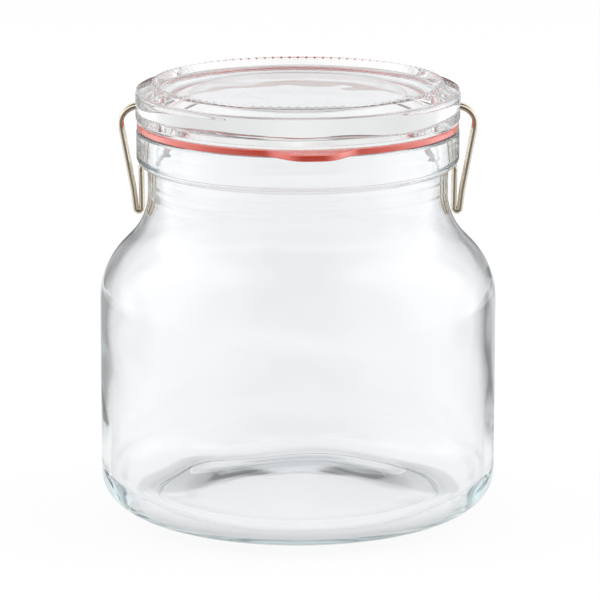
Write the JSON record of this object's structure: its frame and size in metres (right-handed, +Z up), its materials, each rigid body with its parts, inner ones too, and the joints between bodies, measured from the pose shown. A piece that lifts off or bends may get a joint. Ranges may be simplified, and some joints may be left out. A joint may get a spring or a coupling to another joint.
{
  "type": "canning jar",
  "caption": "Wide clear glass preserving jar with a loose glass lid, a flat rubber sealing ring with a pull tab, and wire clips that hook under the rim.",
  "frame": {"origin": "centre of the foot, on the surface the jar stands on", "axes": "+Z up along the jar's axis; -Y is the front, with the ring's pull tab; the clips are on -X and +X"},
  "size_m": [0.14, 0.14, 0.1528],
  "materials": {
    "jar_glass": "clear, smooth, fire polished",
    "lid_glass": "clear, smooth, pressed",
    "ring_rubber": "soft satin, orange-red",
    "left_clip_steel": "polished stainless wire",
    "right_clip_steel": "polished stainless wire"
  },
  "bodies": {
    "jar": {"jar_body": "jar_glass"},
    "lid": {"lid": "lid_glass"},
    "gasket": {"gasket": "ring_rubber"},
    "left_clip": {"left_clip": "left_clip_steel"},
    "right_clip": {"right_clip": "right_clip_steel"}
  },
  "joints": [
    {"name": "lid_lift", "type": "slide", "parent": "jar", "child": "lid", "axis": [0, 0, 1], "range_m": [0, 0.0237]},
    {"name": "gasket_lift", "type": "slide", "parent": "jar", "child": "gasket", "axis": [0, 0, 1], "range_m": [0, 0.01]},
    {"name": "left_clip_swing", "type": "hinge", "parent": "lid", "child": "left_clip", "pos_m": [-0.0536, 0, 0.1444], "axis": [0, 1, 0], "range_deg": [0, 95.1]},
    {"name": "right_clip_swing", "type": "hinge", "parent": "lid", "child": "right_clip", "pos_m": [0.0536, 0, 0.1444], "axis": [0, -1, 0], "range_deg": [0, 95.1]}
  ],
  "couplings": [
    {"joint": "gasket_lift", "follows": "lid_lift", "ratio": 0.42},
    {"joint": "left_clip_swing", "follows": "lid_lift", "rad_per_m": 70},
    {"joint": "right_clip_swing", "follows": "lid_lift", "rad_per_m": 70}
  ]
}
